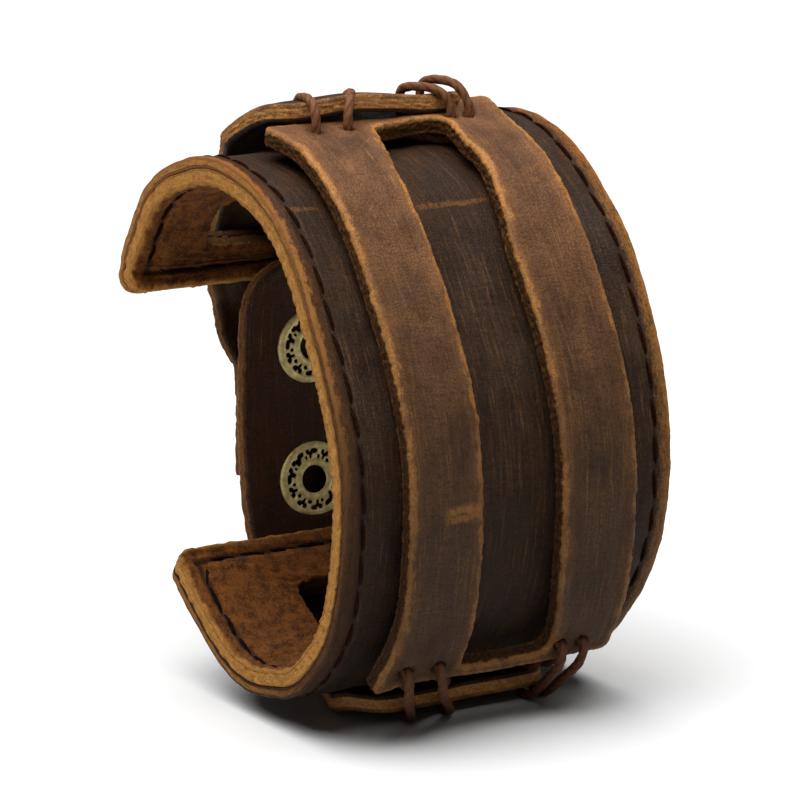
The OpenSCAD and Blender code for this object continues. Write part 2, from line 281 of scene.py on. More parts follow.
def makeLeather(name, finish, path, sheets, rims, shape, lifts):
    # Outer and inner faces follow the outline; round edges and rough cut walls close them.
    # The edge number is the distance from the nearest rim, and -1 on the walls of inner openings.
    # lifts says how far the outer and the inner face are lifted, outwards and in millimetres.
    parts, rows, top, low = [], shape["wallRows"], shape["depth"], shape["depth"] + shape["thick"]

    def faces(points, edge):
        # the ragged points and the depths of the outer and of the inner face
        outerLift, innerLift = lifts(*points.T, edge)
        outer = top + roundDrop(edge, shape["topRound"]) - outerLift
        inner = low - roundDrop(edge, shape["lowRound"]) - innerLift
        return [(fray(points, edge, shape["fray"], back), depth) for back, depth in enumerate((outer, inner))]

    for sheet, closed in sheets:
        points = sheet.reshape(-1, 2)
        edge = edgeDistance(points, rims)
        for back, (ragged, depth) in enumerate(faces(points, edge)):
            parts.append(gridPart(place(path, *ragged.T, depth), gridQuads(*sheet.shape[:2], closed),
                                  flat(*points.T, depth), edge=edge, cut=0, back=back))
    share, step = np.linspace(0, 1, rows)[:, None], np.arange(rows)[:, None]
    cut = np.clip(np.minimum(step, step[::-1]), 0, 1)
    for rim, side in zip(rims, shape["sides"]):
        (upperRim, upper), (lowerRim, lower) = faces(rim, np.zeros(len(rim)))
        between = upperRim * (1 - share[..., None]) + lowerRim * share[..., None]
        depth = upper * (1 - share) + lower * share
        turn = unit(np.roll(rim, -1, axis=0) - np.roll(rim, 1, axis=0))
        way = np.cumsum(np.linalg.norm(np.roll(rim, 1, axis=0) - rim, axis=1))
        push = side * fibres(way, share, *shape["fibres"]) * np.sin(np.pi * share)**0.4
        s, y = between[..., 0] + turn[:, 1] * push, between[..., 1] - turn[:, 0] * push
        parts.append(gridPart(place(path, s, y, depth), gridQuads(rows, len(rim)), flat(s, y, depth),
                              edge=-1.0 * (rim is not rims[0]), cut=cut, back=share))
    makePiece(name, parts, *finish)


# Shader building
class Wire:
    # one output of a node: sums on it add Math nodes, and a key picks another output of the node
    __array_ufunc__ = None  # so numpy's numbers leave their sums to it

    def __init__(self, tree, node, key=0):
        self.tree, self.node, self.socket = tree, node, node.outputs[key]

    def __getitem__(self, key):
        return Wire(self.tree, self.node, key)

    def __add__(self, other):
        return self.math("ADD", other)

    def __sub__(self, other):
        return self.math("SUBTRACT", other)

    def __rsub__(self, other):
        return add(self.tree, "Math", {0: other, 1: self}, operation="SUBTRACT")

    def __mul__(self, other):
        return self.math("MULTIPLY", other)

    def math(self, operation, *others):
        return add(self.tree, "Math", dict(enumerate((self, *others))), operation=operation)

    def to(self, target, name):
        self.tree.links.new(self.socket, target.inputs[name])


def add(tree, kind, inputs=None, **settings):
    node = tree.nodes.new("ShaderNode" + kind)
    for key, value in settings.items():
        setattr(node, key, value)
    for key, value in (inputs or {}).items():
        if isinstance(value, Wire):
            value.to(node, key)
        else:
            node.inputs[key].default_value = value
    return Wire(tree, node)


def fade(value, low, high, to=(0, 1)):
    ends = {"Value": value, "From Min": low, "From Max": high, "To Min": to[0], "To Max": to[1]}
    return add(value.tree, "MapRange", ends, interpolation_type="SMOOTHSTEP")


def mixed(share, a, b):
    return add(share.tree, "Mix", {0: share, 2: a, 3: b}, data_type="FLOAT")


def mixColour(share, a, b, how="MIX"):
    tree = next(value.tree for value in (share, a, b) if isinstance(value, Wire))
    a, b = (value if isinstance(value, Wire) else (*value, 1) for value in (a, b))
    return add(tree, "Mix", {0: share, 6: a, 7: b}, data_type="RGBA", blend_type=how)[2]


def coated(colour, *coats):
    # each coat is where it lies and its colour
    for share, coat in coats:
        colour = mixColour(share, colour, coat)
    return colour


def toned(colour, amount, by):
    # multiplies a colour by a tone where amount is 1
    return mixColour(amount, colour, mixColour(1.0, colour, by, "MULTIPLY"))


def grain(vector, size, stretch=(1, 1, 1), detail=3, rough=0.55, turn=0):
    # noise whose spots are about size millimetres across, drawn out along each axis by stretch
    ends = {"Vector": vector, "Scale": tuple(size * k for k in stretch), "Rotation": (0, 0, turn)}
    moved = add(vector.tree, "Mapping", ends, vector_type="TEXTURE")
    return add(vector.tree, "TexNoise", {"Vector": moved, "Scale": 1, "Detail": detail, "Roughness": rough})


def axis(vector, k):
    return add(vector.tree, "SeparateXYZ", {0: vector})[k]


def newGroup(name, inputs, outputs):
    # inputs have their values, None for a vector; outputs are numbers
    group = bpy.data.node_groups.new(name, "ShaderNodeTree")
    for label, value in inputs.items():
        kind = "NodeSocketVector" if value is None else "NodeSocketFloat"
        socket = group.interface.new_socket(label, in_out="INPUT", socket_type=kind)
        if value is not None:
            socket.default_value = value
    for label in outputs:
        group.interface.new_socket(label, in_out="OUTPUT", socket_type="NodeSocketFloat")
    return Wire(group, group.nodes.new("NodeGroupInput")), group.nodes.new("NodeGroupOutput")


def makeLeatherGrain():
    # pores and cross wrinkles of a hide, the cloudy tone of oil in it, a sandy speckle and scratches
    given, made = newGroup("leatherGrain", {"Vector": None}, ("Height", "Cloud", "Speck", "Scratch"))
    vector = given["Vector"]
    cells = add(given.tree, "TexVoronoi", {"Vector": vector, "Scale": 2}, feature="DISTANCE_TO_EDGE")
    wrinkle = grain(vector, 0.9, (0.5, 3, 1), detail=4, rough=0.6, turn=0.15)
    fine = grain(vector, 0.28, detail=3, rough=0.7)
    (fade(cells, 0.0, 0.18) * 0.25 + fine * 0.5 + wrinkle * 0.7).to(made, "Height")
    fade(grain(vector, 7, (1.5, 1, 1), detail=6, rough=0.65), 0.25, 0.75).to(made, "Cloud")
    grain(vector, 0.34, (1.3, 1, 1), detail=5, rough=0.85).to(made, "Speck")
    slanting = grain(vector, 0.25, (24, 0.8, 1), detail=1, turn=0.85) - 0.03
    lines = grain(vector, 0.22, (26, 0.8, 1), detail=1, turn=0.06).math("MAXIMUM", slanting)
    fade(lines, 0.66, 0.8).to(made, "Scratch")
    return given.tree


def makeWornBand():
    # a ragged band of wear beside an edge, full at From and gone at To
    inputs = {"Vector": None, "Edge": 0, "From": 0.1, "To": 1, "Ragged": 1}
    given, made = newGroup("wornBand", inputs, ("Mask",))
    patch = grain(given["Vector"], 1.1, (1.9, 1, 1), detail=6, rough=0.8)
    moved = given["Edge"] + (patch - 0.5) * (given["Ragged"] * 4)
    fade(moved, given["From"], given["To"], (1, 0)).to(made, "Mask")
    return given.tree


def makeCutFibre():
    # the torn fibres of a cut edge: short streaks along the cut with bright ends and dark gaps, painted light
    # on the raised fibres and painted shade in the gaps
    given, made = newGroup("cutFibre", {"Vector": None}, ("Height", "Tone", "Fleck"))
    long = grain(given["Vector"], 0.5, (3, 1, 1), detail=5, rough=0.75)
    short = grain(given["Vector"], 0.22, (1.4, 1, 1), detail=4, rough=0.75)
    (long * 0.6 + short * 0.4).to(made, "Height")
    fade(long * 0.5 + short * 0.5, 0.34, 0.66).to(made, "Tone")
    fade(grain(given["Vector"], 0.55, (1.3, 1, 1), detail=5, rough=0.8), 0.5, 0.64).to(made, "Fleck")
    return given.tree


leatherGrain, wornBand, cutFibre = makeLeatherGrain(), makeWornBand(), makeCutFibre()


def grouped(lay, group, **inputs):
    return add(lay.tree, "Group", {"Vector": lay, **inputs}, node_tree=group)


def worn(lay, edge, start, end, ragged):
    return grouped(lay, wornBand, Edge=edge, From=start, To=end, Ragged=ragged)["Mask"]


def wornSpot(lay, s, y, width, reach, wobble=1.2):
    # a ragged mark across the leather: its middle, half width along the leather and half length across
    shake = (grain(lay, 2.5, detail=5, rough=0.7) - 0.5) * wobble
    along, across = ((axis(lay, k) - middle + shake).math("ABSOLUTE") for k, middle in enumerate((s, y)))
    inside = fade(along, width * 0.3, width, (1, 0)) * fade(across, reach * 0.7, reach, (1, 0))
    return inside * fade(grain(lay, 0.6, detail=5, rough=0.8), 0.36, 0.56)


def rimDistance(lay):
    # distance from the cuff's outer rim: the least of s, length - s and half width - |y|
    s, y = axis(lay, 0), axis(lay, 1)
    ends = s.math("MINIMUM", cuffPath["length"] - s)
    return ends.math("MINIMUM", cuff["width"] / 2 - y.math("ABSOLUTE"))


def besideLine(rim, line, before, inner, outer, after):
    # 1 on a line beside the rim, fading out on both sides of it
    return fade(rim, line - before, line - inner) * fade(rim, line + outer, line + after, (1, 0))


# Materials
def tones(**colours):
    # colours as seen on screen in full studio light, from 0 to 255, turned into what a shader takes
    c = {name: np.array(value) / 255 for name, value in colours.items()}
    linear = {name: np.where(v <= 0.04045, v / 12.92, ((v + 0.055) / 1.055)**2.4) for name, v in c.items()}
    return {name: tuple(float(part) for part in v / studio["level"]) for name, v in linear.items()}


def plainMaterial(name, **surface):
    material = bpy.data.materials.new(name)
    material.use_nodes = True
    shader = material.node_tree.nodes["Principled BSDF"]
    for key, value in surface.items():
        shader.inputs[key.replace("_", " ")].default_value = value
    return material, shader


def newMaterial(name, *numbers, **surface):
    # a material, its shader, and what its nodes read at each point: the flat place and the named numbers
    material, shader = plainMaterial(name, **surface)
    lay, *read = (add(material.node_tree, "Attribute", attribute_name=key, attribute_type="GEOMETRY")
                  for key in ("lay", *numbers))
    return material, shader, lay["Vector"], *(wire["Fac"] for wire in read)


def raised(shader, height, strength, distance):
    add(height.tree, "Bump", {"Height": height, "Strength": strength, "Distance": distance * mm}).to(
        shader, "Normal")


def hideColour(skin, look, *streaks, scratch):
    # the cloudy tone of an oiled hide, then streaks, speckle, wrinkles with painted shade in the low parts of
    # the grain, and scratches
    return coated(
        mixColour(skin["Cloud"], look["dark"], look["light"]), *streaks,
        (fade(skin["Speck"], 0.5, 0.66, (0, 0.35)), look["rub"]),
        (fade(skin["Height"], 0.76, 0.6, (0, 0.6)), look["dark"]), scratch)


def hideSurface(shader, colour, cut, skin, fibre, look):
    colour.to(shader, "Base Color")
    mixed(cut, fade(skin["Cloud"], 0, 1, look["rough"]), look["cutRough"]).to(shader, "Roughness")
    raised(shader, mixed(cut, skin["Height"] * look["relief"], fibre["Height"]), *look["bump"])


def makeCuffLeather():
    look = {
        **tones(dark=(40, 27, 17), light=(76, 55, 37), rub=(124, 84, 49), rim=(128, 82, 40),
                rimLight=(184, 126, 62), rimDark=(58, 34, 17), edge=(206, 146, 76), seam=(20, 11, 5)),
        "lowTone": (0.5, 0.5, 0.5), "topTone": (0.76, 0.62, 0.46), "wallTone": (0.8, 0.76, 0.72),
        "creases": ((109.6, 1.5, 0.6, 6.5), (111.2, -21, 0.5, 3.2)),
        "rough": (0.55, 0.75), "cutRough": 0.85, "relief": 0.55, "bump": (0.8, 0.25)}
    material, shader, lay, edge, cut, back = newMaterial(
        "oiledCuffLeather", "edge", "cut", "back", Specular_IOR_Level=0.12)
    skin, fibre = grouped(lay, leatherGrain), grouped(lay, cutFibre)
    rim, along, far = rimDistance(lay), axis(lay, 0), fade(axis(lay, 1), 0, 12)
    streak = grain(lay, 0.6, (14, 0.7, 1), detail=6, rough=0.75)
    colour = hideColour(
        skin, look, (fade(streak, 0.52, 0.66, (0, 0.65)), look["rub"]),
        (fade(streak, 0.48, 0.34, (0, 0.75)), look["dark"]), scratch=(skin["Scratch"] * 0.4, look["rub"]))
    # both rims are rubbed, the far one brighter; a painted highlight brightens the very edge of the far rim,
    # and of the near one only where it is high
    rubbed = mixColour(fibre["Tone"] * mixed(far, 0.5, 1.0), look["rimDark"],
                       mixColour(far, look["rim"], look["rimLight"]))
    high = fade(along, 60, 105).math("MAXIMUM", far * 0.9)
    colour = coated(
        # the creases are rubbed lighter, and partly a painted highlight on their folds
        colour, *((wornSpot(lay, *crease) * 0.35, look["rimLight"]) for crease in look["creases"]),
        (worn(lay, rim, 1.2, 2.3, 0.9) * 0.85, rubbed),
        (worn(lay, rim, 0.2, 1.0, 1.0) * high * 0.75, look["rimLight"]),
        (besideLine(rim, cuff["stitchInset"], 0.5, 0, 0, 0.6) * 0.3, look["seam"]))
    # the cut wall is lightest at both ends of the cuff, with a painted highlight at the upper end, and dark
    # beside the lining; painted shade darkens it in the slots
    ends = fade(along, 85, 120).math("MAXIMUM", fade(along, 45, 20))
    wall = coated(
        mixColour(fibre["Tone"], mixColour(ends, look["rimDark"], look["rim"]),
                  mixColour(ends, look["rim"], look["edge"])),
        (fibre["Fleck"] * 0.3, look["rimDark"]), (fade(back, 0.7, 0.95), look["seam"]),
        (fade(edge, -0.9, -0.1, (0.85, 0)), look["seam"]))
    # towards the top the colour turns darker and warmer; lower down, painted shade darkens the face and,
    # less, the cut wall
    colour = toned(colour, fade(along, 95, 118), look["topTone"])
    colour = toned(colour, fade(along, 100, 45), look["lowTone"])
    wall = toned(wall, fade(along, 100, 60), look["wallTone"])
    hideSurface(shader, mixColour(cut, colour, wall), cut, skin, fibre, look)
    return material


def makeSuede():
    look = tones(deep=(78, 40, 11), nap=(152, 90, 31), tuft=(188, 124, 52), cut=(230, 168, 84),
                 cutDark=(164, 104, 40), hole=(26, 15, 8))
    material, shader, lay, edge, cut = newMaterial(
        "tanSuede", "edge", "cut", Roughness=0.95, Specular_IOR_Level=0.04, Sheen_Weight=0.04,
        Sheen_Roughness=0.6)
    fibre, rim = grouped(lay, cutFibre), rimDistance(lay)
    fine = grain(lay, 0.4, detail=6, rough=0.8)
    clump = grain(lay, 1.8, (1.3, 1, 1), detail=4, rough=0.65)
    pressed = besideLine(rim + (clump - 0.5) * 1.2, cuff["stitchInset"], 0.7, 0.1, 0.1, 0.7)
    # the nap is darker where its relief is low: painted shade in its hollows
    colour = coated(
        mixColour(fade(fine * 0.5 + clump * 0.5, 0.36, 0.62), look["deep"], look["nap"]),
        (fade(fine, 0.54, 0.72, (0, 0.7)), look["tuft"]), (pressed * 0.75, look["hole"]))
    # on the walls of the slots the dark hole colour is painted shade
    wall = coated(
        mixColour(fibre["Tone"], look["cutDark"], look["cut"]), (fibre["Fleck"] * 0.25, look["tuft"]),
        (fade(edge, -0.9, -0.1, (0.8, 0)), look["hole"]))
    lip = cut.math("MAXIMUM", worn(lay, rim, 0.1, 0.8, 0.6) * 0.8)
    mixColour(lip, colour, wall).to(shader, "Base Color")
    raised(shader, mixed(cut, fine + clump * 0.9, fibre["Height"]), 1.0, 0.4)
    return material


def makeStrapLeather(name, look):
    # brown oiled leather, rubbed tan in a ragged line along its edges, with dark fibrous cut walls, and
    # painted shade towards its lower end
    look = {"rough": (0.5, 0.68), "cutRough": 0.9, "relief": 0.6, "bump": (0.85, 0.28), **look}
    material, shader, lay, edge, cut, back = newMaterial(
        name, "edge", "cut", "back", Specular_IOR_Level=0.12)
    skin, fibre = grouped(lay, leatherGrain), grouped(lay, cutFibre)
    # low is 1 towards the lower end, where painted shade darkens the colour
    low = fade(axis(lay, 0), *look["lowEnds"])
    bundles = fade(grain(lay, 2.2, (12, 1, 1), detail=3, rough=0.6), 0.4, 0.6, (0.25, 1))
    streaks = bundles * mixed(low, look["streaks"] * 0.6, look["streaks"])
    streak = grain(lay, 0.5, (20, 0.7, 1), detail=6, rough=0.75)
    colour = hideColour(
        skin, look, (fade(streak, 0.51, 0.64) * streaks, mixColour(low, look["rub"], look["worn"])),
        (fade(streak, 0.49, 0.34) * streaks, look["dark"]),
        scratch=(skin["Scratch"] * look["scratches"], look["worn"]))
    colour = toned(colour, low, look["lowTone"])
    patchy = fade(grain(lay, 5, (1.6, 1, 1), detail=4, rough=0.6), 0.38, 0.56, (0.35, 1))
    wear = (1 - back) * (patchy * look["wear"])
    colour = coated(
        colour, (worn(lay, edge, 0.4, 3.0, 1.3) * (wear * 0.35), look["rub"]),
        (worn(lay, edge, 0.35, 1.0, 0.9) * wear,
         mixColour(fade(skin["Speck"], 0.42, 0.58), look["rub"], look["worn"])),
        *((wornSpot(lay, *spot) * 0.75, look["worn"]) for spot in look["spots"]))
    # cut walls: light flecks at both corners, and painted shade on the walls of the tongues, between two
    # heights in metres
    corner = fade(back, 0.05, 0.3, (1, 0)).math("MAXIMUM", fade(back, 0.75, 0.95))
    wall = mixColour(corner * fibre["Fleck"] * 0.8,
                     mixColour(fibre["Tone"], look["wallDark"], look["wallLight"]), look["worn"])
    level = axis(add(lay.tree, "TexCoord")["Object"], 2)
    wall = toned(wall, fade(level, 0.006, 0.014) * fade(level, 0.07, 0.058), look["tongueTone"])
    rawSide = mixColour(fade(skin["Speck"], 0.42, 0.62), look["wallDark"], look["wallLight"])
    colour = coated(colour, (cut, wall), (fade(back, 0.96, 1.0, (0, look["rawBack"])), rawSide))
    hideSurface(shader, toned(colour, low, look["edgeTone"]), cut, skin, fibre, look)
    return material


def makeCord(name, shade):
    # waxed cord: its strands lie close, with a dull shine, and painted shade darkens the grooves between them
    look = tones(gap=(78, 44, 24), strand=(132, 84, 52), fluff=(170, 118, 78), dirt=(66, 36, 20))
    material, shader, lay, strand = newMaterial(name, "edge", Roughness=0.7, Specular_IOR_Level=0.15)
    fluff = grain(lay, 0.35, (3, 1, 1), detail=5, rough=0.75)
    colour = coated(
        mixColour(fade(strand, 0.0, 0.6), look["gap"], look["strand"]),
        (fade(fluff, 0.5, 0.7, (0, 0.6)), look["fluff"]), (fade(fluff, 0.5, 0.34, (0, 0.6)), look["dirt"]))
    toned(colour, 1.0, shade).to(shader, "Base Color")
    raised(shader, fluff, 0.7, 0.15)
    return material


def makeThread(name, **colours):
    look = tones(**colours)
    material, shader, lay = newMaterial(name, Roughness=0.9, Specular_IOR_Level=0.02)
    tone = grain(lay, 0.25, (2, 1, 1), detail=3, rough=0.7)
    mixColour(fade(tone, 0.4, 0.65), look["dark"], look["light"]).to(shader, "Base Color")
    raised(shader, tone, 0.5, 0.08)
    return material


def makeBrass():
    # antique brass: pale where it is rubbed, nearly black in the pressed marks, and painted shade makes the
    # hole nearly black
    look = tones(dull=(216, 196, 124), rubbed=(285, 266, 190), spot=(124, 104, 60), mark=(26, 18, 9))
    material, shader, lay, pressed = newMaterial("agedBrass", "edge", Specular_IOR_Level=0.4)
    tarnish = grain(lay, 1.1, detail=5, rough=0.75)
    fine = grain(lay, 0.2, detail=3, rough=0.7)
    coated(mixColour(fade(tarnish, 0.3, 0.7), look["dull"], look["rubbed"]),
           (fade(fine, 0.55, 0.75, (0, 0.4)), look["spot"]),
           (fade(pressed, 0.15, 0.75), look["mark"])).to(shader, "Base Color")
    fade(pressed, 0.1, 0.5, (0.4, 1.0)).to(shader, "Metallic")
    fade(tarnish, 0.3, 0.7, (0.6, 0.42)).to(shader, "Roughness")
    raised(shader, fine, 0.4, 0.07)
    return material


strapLeather = makeStrapLeather("strapLeather", {
    **tones(dark=(78, 50, 31), light=(146, 99, 64), rub=(168, 114, 66), worn=(204, 142, 72),
            wallDark=(34, 19, 9), wallLight=(116, 74, 34)),
    "lowTone": (0.74, 0.84, 0.92), "edgeTone": (0.46, 0.45, 0.44), "tongueTone": (1, 1, 1),
    "lowEnds": (74, 18), "streaks": 0.7, "scratches": 0.4, "wear": 1.0, "rawBack": 0.6,
    "spots": [(25, -9, 1.4, 3.8, 1.4)]})
tabLeather = makeStrapLeather("tabLeather", {
    **tones(dark=(42, 24, 13), light=(74, 46, 28), rub=(124, 80, 44), worn=(196, 138, 76),
            wallDark=(140, 90, 48), wallLight=(236, 170, 100)),
    "lowTone": (1, 1, 1), "edgeTone": (1, 1, 1), "tongueTone": (0.34, 0.3, 0.26),
    "lowEnds": (40, 10), "streaks": 0.2, "scratches": 0.12, "wear": 0.8, "rawBack": 0.0, "spots": []})
# the bottom loops use a shaded copy of the same cord: painted shade
cords = {"top": makeCord("waxedCord", (1, 1, 1)), "bottom": makeCord("shadedWaxedCord", (0.5, 0.45, 0.42))}
brass = makeBrass()
outerThread = makeThread("outerThread", dark=(22, 10, 5), light=(58, 29, 15))
innerThread = makeThread("innerThread", dark=(16, 10, 7), light=(40, 25, 16))
print("materials ready")


# The cuff: outer leather and lining share their outline, slots and bend
cuff = {
    "width": 49.8, "cornerRadius": 2, "endBlock": 24, "step": 0.42, "slotRows": 14,
    "lowerSlot": {"inset": 13.7, "height": 10, "length": 20.6},
    "upperSlot": {"inset": 13.5, "height": 11.4, "length": 28.4}, "squareness": 7,
    "outerThick": 1.5, "liningThick": 2.3, "layerGap": 0.1, "stitchInset": 2.5}
cuffLeather, suede = makeCuffLeather(), makeSuede()
finePitch = [0, 0.05, 0.15, 0.3, 0.5, 0.75, 1.05, 1.4, 1.8, 2.15, 2.5, 2.85, 3.2, 3.7]
edgePitch = [0, 0.05, 0.15, 0.3, 0.5, 0.8, 1.2]


def pullCorners(points, length, halfWidth, radius):
    # squeezes the square corners of a sheet onto round ones
    s, y = points[..., 0], points[..., 1]
    for centre, sign in ((radius, -1), (length - radius, 1)):
        a, b = sign * (s - centre), np.abs(y) - (halfWidth - radius)
        near = (a > 0) & (b > 0)
        shrink = np.where(near, np.maximum(a, b) / np.maximum(np.hypot(a, b), 1e-9), 1)
        s = np.where(near, centre + sign * a * shrink, s)
        y = np.where(near, np.sign(y) * (halfWidth - radius + b * shrink), y)
    return flat(s, y)


def crossColumns():
    near = cuff["width"] / 2 - np.array(finePitch)
    return np.concatenate([-near, np.linspace(-near[-1], near[-1], 46)[1:-1], near[::-1]])


def slotRing(slot):
    # the sheet round a slot near s = 0, from the rectangle's edge to the slot's, along rays from its middle
    half, deep, power = cuff["width"] / 2, cuff["endBlock"], cuff["squareness"]
    columns = crossColumns()
    side = np.concatenate([finePitch, np.linspace(4.4, deep, 26)])[::-1]
    outer = np.vstack([
        flat(side[:-1], -half), flat(0, columns[:-1]), flat(side[::-1][:-1], half),
        flat(deep, columns[::-1][:-1])])
    ray = unit(outer - [slot["inset"], 0])
    # a rounded rectangle: (s/a)^n + (y/b)^n = 1
    share = np.abs(ray) / [slot["height"] / 2, slot["length"] / 2]
    inner = ray * (share**power).sum(1)[:, None]**(-1 / power) + [slot["inset"], 0]
    return ringSheet(outer, inner, finePitch, edgePitch, cuff["slotRows"]), inner, side, columns


def cuffSheets(path):
    total, half, deep = path["length"], cuff["width"] / 2, cuff["endBlock"]
    low, lowSlot, side, columns = slotRing(cuff["lowerSlot"])
    high, highSlot = (part * [-1, 1] + [total, 0] for part in slotRing(cuff["upperSlot"])[:2])
    rows = np.linspace(deep, total - deep, int((total - 2 * deep) / cuff["step"]))
    lower = np.vstack([
        flat(side[:-1], -half), flat(0, columns[:-1]), flat(side[::-1][:-1], half), flat(rows[:-1], half)])
    edge = np.vstack([lower, [total, 0] - lower])
    low, high, edge = (pullCorners(part, total, half, cuff["cornerRadius"]) for part in (low, high, edge))
    return [(low, True), (flat(rows[:, None], columns), False), (high, True)], [edge, lowSlot, highSlot]


# How far the two rims stand out from the plain outline: distance along the cuff, then millimetres.
farRim = [
    [30, 0], [38, -0.3], [45, -1], [52, -0.7], [58, -0.1], [65, 0.5], [72, 0.8], [79, 0.9], [85, 1.6],
    [92, 2.2], [100, 2.1], [108, 1.6], [115, 1.9], [120, 2.7], [125, 3.2], [132, 3.2], [139, 2], [148, 0]]
nearRim = [
    [0, 0.1], [1.3, 0.5], [8.1, 0.6], [14.7, 0.5], [20.6, 0.6], [26, 0.3], [32.2, -0.3], [39.8, 0.1],
    [80, 0], [126.7, 0.5], [136.4, 0.2], [143, 0.5], [148.7, 0.7], [151, 0.2], [156.7, 0], [161.6, 0.5],
    [163, 1.4], [165.5, 0.7]]


def cuffBend(s, y):
    # both rims wander, as if the cuff had been worn for a while
    far, near = (np.interp(s, *np.array(rows).T) for rows in (farRim, nearRim))
    rise = 0.7 * bump(s, 136.5, 4) * (1 - ramp(np.abs(y), 11, 17))
    return far * ramp(y, 16, 22.5) + near * ramp(-y, 18, 24) + rise + 0.08 * ripple(flat(s, y), 22, 3)


def stitchGroove(s, y, width):
    rim = np.minimum(np.minimum(s, cuffPath["length"] - s), cuff["width"] / 2 - np.abs(y))
    return bump(rim, cuff["stitchInset"], width)


def outerLifts(s, y, edge):
    # a pressed stitch line in softly uneven leather
    bend = cuffBend(s, y)
    return bend - 0.28 * stitchGroove(s, y, 0.4) + 0.05 * ripple(flat(s, y), 6, 5), bend


def liningLifts(s, y, edge):
    # seen from inside: the nap is uneven, and the stitch line is drawn in deep
    nap = 0.1 * ripple(flat(s, y), 1.6, 11) + 0.05 * ripple(flat(s, y), 0.8, 12)
    bend = cuffBend(s, y)
    return bend, bend + 0.5 * stitchGroove(s, y, 0.5) + nap * ramp(edge, 0, 0.3)


def makeCuff():
    sheets, rims = cuffSheets(cuffPath)
    outer = {"depth": 0, "thick": cuff["outerThick"], "topRound": 0.35, "lowRound": 0.15, "wallRows": 7,
             "sides": (1, 1, 1), "fibres": (1.2, 0.04, 21), "fray": 0.025}
    inner = {"depth": cuff["outerThick"] + cuff["layerGap"], "thick": cuff["liningThick"], "topRound": 0.15,
             "lowRound": 0.5, "wallRows": 10, "sides": (1, 1, 1), "fibres": (0.8, 0.07, 31), "fray": 0.07}
    makeLeather("outerCuff", (cuffLeather, "outer_leather", "outer_cuff"), cuffPath, sheets, rims, outer,
                outerLifts)
    makeLeather("suedeLining", (suede, "suede", "suede_lining"), cuffPath, sheets, rims, inner, liningLifts)


makeCuff()


# The strap panel: one piece, split by a long opening
panel = {
    "width": 34.9, "thick": 2.4, "cornerRadius": 1.2, "rows": 300, "middle": 0.6,
    "topHoleX": -22.2, "lowHoleInset": 2.6, "holeRadius": 0.95, "holeDeep": 1.1,
    "topHoles": ((-11.8, 0), (-6.9, 0), (10, 1.2), (12.5, 0.4)), "lowHoles": (-15.2, -10.2, 8.8, 12.2)}
wallPitch = finePitch[:9]
# The opening's two ends: distance from the end of the panel, then y.
lowOpening = [
    [12, -6.4], [7, -6.5], [3.4, -6.5], [2.2, -6.2], [1.8, -5.2], [1.7, -1], [1.7, 3], [1.9, 5.6], [2.6, 6.8],
    [4.2, 7], [7.5, 6.7], [12, 6.2]]
highOpening = [
    [17, -6.1], [14.4, -5.8], [12.3, -5.4], [9.6, -4.7], [6.6, -3.6], [4.4, -2.5], [3.8, -0.8], [3, 2.1],
    [2.6, 4.7], [2.7, 7.1], [3.8, 8.5], [7.5, 7.9], [11.2, 7.3], [14, 7.7], [17, 7.6]]
# Its two sides between the ends: distance from the lower end, or minus that from the upper, then y.
nearSide = [[12, -6.4], [-30, -6.4], [-17, -6.1]]
farSide = [[12, 6.2], [24, 5.9], [-30, 5.7], [-17, 7.6]]


def panelSheets(path):
    total, half, middle = path["length"], panel["width"] / 2, panel["middle"]
    line = np.linspace(lowOpening[0][0], total - highOpening[0][0], panel["rows"])

    def web(rows):
        # outline of one end, and the opening's end seen along the same rays
        deep, across = rows[0][0], np.linspace(-half, half, 130)
        side = np.arange(deep, 0, -0.3)
        outline = np.vstack([flat(side, -half), flat(0, across), flat(side[::-1][:-1], half)])
        angle = np.arctan2(outline[:, 1] - middle, deep - outline[:, 0])
        a, b = (smoothCurve(rows, 8) * [-1, 1] + [deep, -middle]).T
        reach = np.interp(angle, np.arctan2(b, a), np.hypot(b, a))
        return outline, flat(deep - reach * np.cos(angle), middle + reach * np.sin(angle))

    def longSide(rows):
        way, y = np.array(rows, float).T
        return np.interp(line, np.where(way < 0, way + total, way), y)

    lowOuter, lowInner = web(lowOpening)
    highOuter, highInner = (part[::-1] * [-1, 1] + [total, 0] for part in web(highOpening))
    outer = np.vstack([flat(line[::-1][:-1], -half), lowOuter, flat(line[:-1], half), highOuter])
    inner = np.vstack([
        flat(line, longSide(nearSide))[::-1][:-1], lowInner, flat(line, longSide(farSide))[:-1], highInner])
    corner = total, half, panel["cornerRadius"]
    sheet = pullCorners(ringSheet(outer, inner, wallPitch, wallPitch, 14), *corner)
    return [(droop(sheet), True)], [droop(pullCorners(outer, *corner)), droop(inner)]


def droop(points):
    # the lower end hangs a little low in the middle and at its near corner, which also flares out
    s, y = points[..., 0], points[..., 1]
    low = (0.6 * bump(y, 0, 8) + bump(y, -18, 4)) * (1 - ramp(s, 0, 9))
    return flat(s - low, y - 2 * (1 - ramp(s, -4, 16)) * ramp(-y, 5, 17))


def holeDimples(s, y, holes, look):
    # funnels where the cord goes through
    sink, radius = np.zeros(np.shape(s)), look["holeRadius"]
    for holeS, holeY in holes:
        sink = np.maximum(sink, ramp(np.hypot(s - holeS, y - holeY), radius * 1.15, radius * 0.7))
    return look["holeDeep"] * sink


